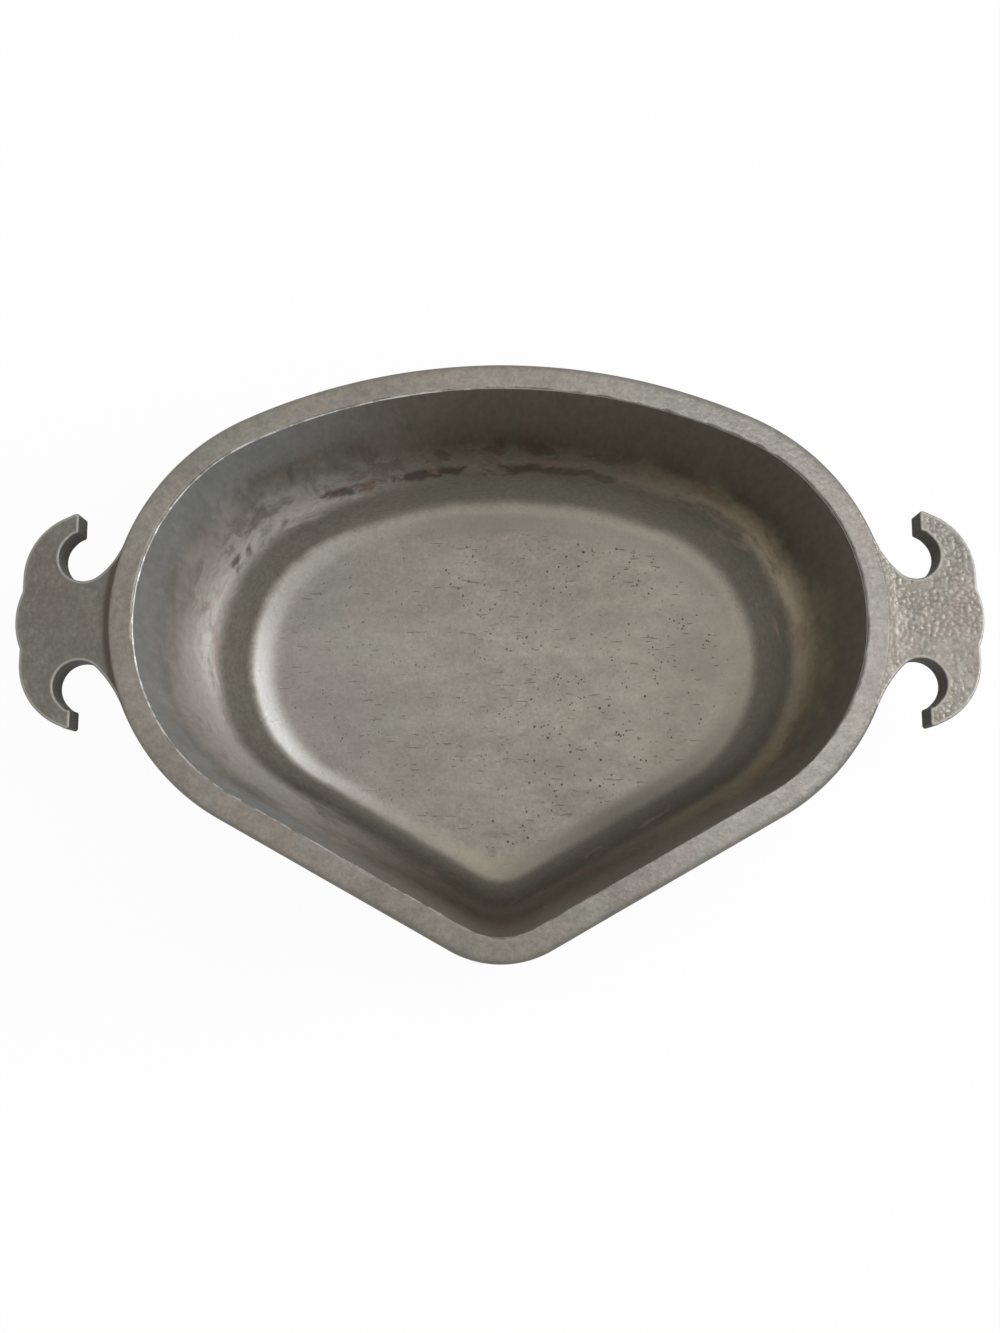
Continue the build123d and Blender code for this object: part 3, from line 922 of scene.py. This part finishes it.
def panMaterial():
    material, tree, shader = startMaterial("wornCastAluminium")
    base = useGroup(tree, patina, Tone=panFinishAndPaintedLight["tone"])
    scours = useGroup(tree, scouring, Amount=1.0)
    at = panPlaces(tree)
    at.scouring, at.scratches = scours["Fine"], scours["Deep"]
    at.pits = useGroup(tree, pitting, Amount=1.0)["Pits"]
    colour = shade(tree, base["Color"], panFinishAndPaintedLight["warmth"])
    for layer in (wallStainsAndPaintedLight, coveGrimeAndPaintedLight, cookingMarks, wallStreaks, floorMarksAndPaintedLight, rimWearAndPaintedLight):
        colour = layer(tree, at, colour)
    tree.links.new(colour, shader.inputs["Base Color"])
    rough = remap(tree, base["Cloud"], 0.3, 0.7, 0.41, 0.49)
    rough = plus(tree, rough, times(tree, largest(tree, at.tide, at.valley), 0.12))
    tree.links.new(less(tree, rough, times(tree, at.crescent, 0.13)), shader.inputs["Roughness"])
    # A dull film on the left wall and on the shaded one, bare metal elsewhere
    film = largest(tree, at.clean, at.cool, times(tree, at.shaded, 0.8))
    tree.links.new(less(tree, metal["metallic"], times(tree, film, 0.5)), shader.inputs["Metallic"])
    # Relief: grain, scouring, pits, a stippled rim, and the pebbled cast skin outside
    outside = flip(tree, largest(tree, at.inside, at.rim, at.lip))
    cast = plus(tree, outside, times(tree, at.rim, remap(tree, at.across, 0.0, 0.1, 0.12, 0.45)))
    pebbles = times(tree, flip(tree, cellDistance(tree, at.where, 620.0)), cast, 0.9)
    relief = plus(tree, pebbles, times(tree, base["Grain"], 0.4))
    for mark, depth in ((at.scouring, 0.03), (at.pits, 0.8), (at.scratches, 0.3)):
        relief = less(tree, relief, times(tree, mark, depth))
    linkBump(tree, shader, relief, strength=0.55, distance=0.0004)
    return material


# Besides stains, the seam coat here is painted shadow in the crease by the rim
plateStainsAndPaintedShade = {
    "hollow": ((0.13, 0.117, 0.094), 0.3), "rosy": (0.27, 0.21, 0.175), "seam": (0.062, 0.048, 0.034),
    "pit": ((0.07, 0.06, 0.045), 0.5), "side": ((0.07, 0.066, 0.058), 1.0),
    "rubbed": ((0.50, 0.485, 0.455), 0.35),
}


def handleMaterial(own):
    # Darker between the grains, with a painted shadow in the crease by the seam, darker on the sides, and
    # rubbed along the edge
    material, tree, shader = startMaterial(own["material"])
    # Each handle's tone is painted light and shade: darker on the left, paler on the right
    base = useGroup(tree, patina, Tone=own["tone"])
    pits = useGroup(tree, pitting, Amount=1.0)["Pits"]
    gap = attribute(tree, "edgeGap")
    where = tree.nodes.new("ShaderNodeTexCoord").outputs["Object"]
    cells = cellDistance(tree, where, 520.0, 0.95)
    colour = shade(tree, base["Color"], own["cast"])
    colour = stainAndPaintedLight(tree, colour, plateStainsAndPaintedShade["hollow"], remap(tree, cells, 0.3, 0.75))
    rosy = remap(tree, noise(tree, placed(tree), 60, 3, 0.6, 0.5), 0.50, 0.66)
    colour = stainAndPaintedLight(tree, colour, (plateStainsAndPaintedShade["rosy"], own["rosyShare"]), rosy)
    # Painted shadow along the crease where the handle meets the rim
    crease = remap(tree, attribute(tree, "seam"), own["seamFrom"], 1.0)
    colour = stainAndPaintedLight(tree, colour, (plateStainsAndPaintedShade["seam"], own["seamDark"]), crease)
    colour = stainAndPaintedLight(tree, colour, plateStainsAndPaintedShade["pit"], pits)
    onTop = remap(tree, gap, 0.0, 0.1)
    colour = stainAndPaintedLight(tree, colour, plateStainsAndPaintedShade["side"], flip(tree, onTop))
    ragged = plus(tree, gap, times(tree, base["Grain"], 0.16))
    colour = stainAndPaintedLight(tree, colour, plateStainsAndPaintedShade["rubbed"], remap(tree, ragged, 0.26, 0.38, 1, 0), onTop)
    tree.links.new(colour, shader.inputs["Base Color"])
    rough = plus(tree, remap(tree, base["Cloud"], 0.3, 0.7, 0.42, 0.52), remap(tree, gap, 0.0, 0.1, 0.3, 0))
    tree.links.new(rough, shader.inputs["Roughness"])
    tree.links.new(remap(tree, gap, 0.0, 0.1, 0.2, metal["metallic"]), shader.inputs["Metallic"])
    relief = plus(tree, times(tree, flip(tree, cells), 0.5), times(tree, base["Grain"], 0.5))
    linkBump(tree, shader, relief, strength=0.6, distance=own["grainHeight"])
    return material


panPiece.data.materials.append(panMaterial())
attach(panPiece, "root")
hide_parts("pan_body")
for piece, own in zip(handlePieces, handles.values()):
    node = own["node"]
    piece.data.materials.append(handleMaterial(own))
    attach(piece, "root")
    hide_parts(node)
print("materials made")


# Floor, light and camera

stage = {
    "floorSize": 6.0, "floorColour": (0.86, 0.86, 0.86), "floorWhite": 0.94,
    "floorBelow": 0.0002,        # clear of the pan's base
    "floorRoughness": 0.9, "floorSpecular": 0.1, "worldLevel": 0.75,
    "keyPlace": (0.31, 0.17, 1.15), "keySize": 0.30, "keyPower": 1.7,
    "sidePlace": (1.0, 0.15, 0.42), "sideSize": 0.5, "sidePower": 5.0, "lampAim": (0, 0, 0.03),
    "cameraAim": (0.0, -0.0045), "cameraDistance": 0.430, "cameraTilt": 8.5, "cameraRoll": -0.18,
    "focalPixels": 1261.0, "longSide": 1333.0, "sensorWidth": 36.0, "clip": (0.02, 50),
}


def whiteShare(tree, share):
    # Camera, glossy and transmission rays see this share of plain white
    path = tree.nodes.new("ShaderNodeLightPath").outputs
    seen = largest(tree, path["Is Camera Ray"], path["Is Glossy Ray"], path["Is Transmission Ray"])
    return times(tree, seen, share)


def mixWhite(tree, share, plain, white, output):
    # The plain shader, with the white one mixed in by share
    mix = tree.nodes.new("ShaderNodeMixShader")
    tree.links.new(whiteShare(tree, share), mix.inputs[0])
    tree.links.new(plain.outputs[0], mix.inputs[1])
    tree.links.new(white.outputs[0], mix.inputs[2])
    tree.links.new(mix.outputs[0], output.inputs["Surface"])


def makeFloor():
    half, z = stage["floorSize"] / 2, cadLow.z - stage["floorBelow"]
    verts = [[-half, -half, z], [half, -half, z], [half, half, z], [-half, half, z]]
    mesh = bpy.data.meshes.new("paleFloor")
    mesh.from_pydata(verts, [], [[0, 1, 2, 3]])
    floor = bpy.data.objects.new("paleFloor", mesh)
    bpy.context.scene.collection.objects.link(floor)
    material, tree, shader = startMaterial("paleFloor")
    shader.inputs["Base Color"].default_value = (*stage["floorColour"], 1)
    shader.inputs["Roughness"].default_value = stage["floorRoughness"]
    shader.inputs["Specular IOR Level"].default_value = stage["floorSpecular"]
    white = addNode(tree, "ShaderNodeEmission", Color=(1, 1, 1, 1), Strength=1.0)
    mixWhite(tree, stage["floorWhite"], shader, white, tree.nodes["Material Output"])
    mesh.materials.append(material)


def makeWorld():
    world = bpy.data.worlds.new("studio")
    bpy.context.scene.world = world
    world.use_nodes = True
    tree = world.node_tree
    tree.nodes.clear()
    output = tree.nodes.new("ShaderNodeOutputWorld")
    soft = addNode(tree, "ShaderNodeBackground", Color=(1, 1, 1, 1), Strength=stage["worldLevel"])
    white = addNode(tree, "ShaderNodeBackground", Color=(1, 1, 1, 1), Strength=1.0)
    mixWhite(tree, 1.0, soft, white, output)


def areaLight(name, place, size, power):
    lamp = bpy.data.lights.new(name, "AREA")
    lamp.shape, lamp.size, lamp.energy = "DISK", size, power
    thing = bpy.data.objects.new(name, lamp)
    bpy.context.scene.collection.objects.link(thing)
    thing.location = place
    towards = Vector(stage["lampAim"]) - Vector(place)
    thing.rotation_euler = towards.to_track_quat("-Z", "Y").to_euler()


def makeCamera():
    tilt = math.radians(stage["cameraTilt"])
    camera = bpy.data.cameras.new("photoCamera")
    camera.sensor_width = stage["sensorWidth"]
    camera.lens = stage["sensorWidth"] * stage["focalPixels"] / stage["longSide"]
    camera.clip_start, camera.clip_end = stage["clip"]
    thing = bpy.data.objects.new("photoCamera", camera)
    bpy.context.scene.collection.objects.link(thing)
    back = Vector((0, -math.sin(tilt), math.cos(tilt)))
    thing.location = Vector((*stage["cameraAim"], rimZ)) + back * stage["cameraDistance"]
    roll = Matrix.Rotation(math.radians(stage["cameraRoll"]), 4, "Z")
    thing.rotation_euler = (Matrix.Rotation(tilt, 4, "X") @ roll).to_euler()
    bpy.context.scene.camera = thing


makeFloor()
makeWorld()
areaLight("keyRight", stage["keyPlace"], stage["keySize"], stage["keyPower"])
areaLight("sideRight", stage["sidePlace"], stage["sideSize"], stage["sidePower"])
makeCamera()
bpy.context.scene.view_settings.view_transform = "Standard"
print("stage made")

bpy.context.view_layer.update()
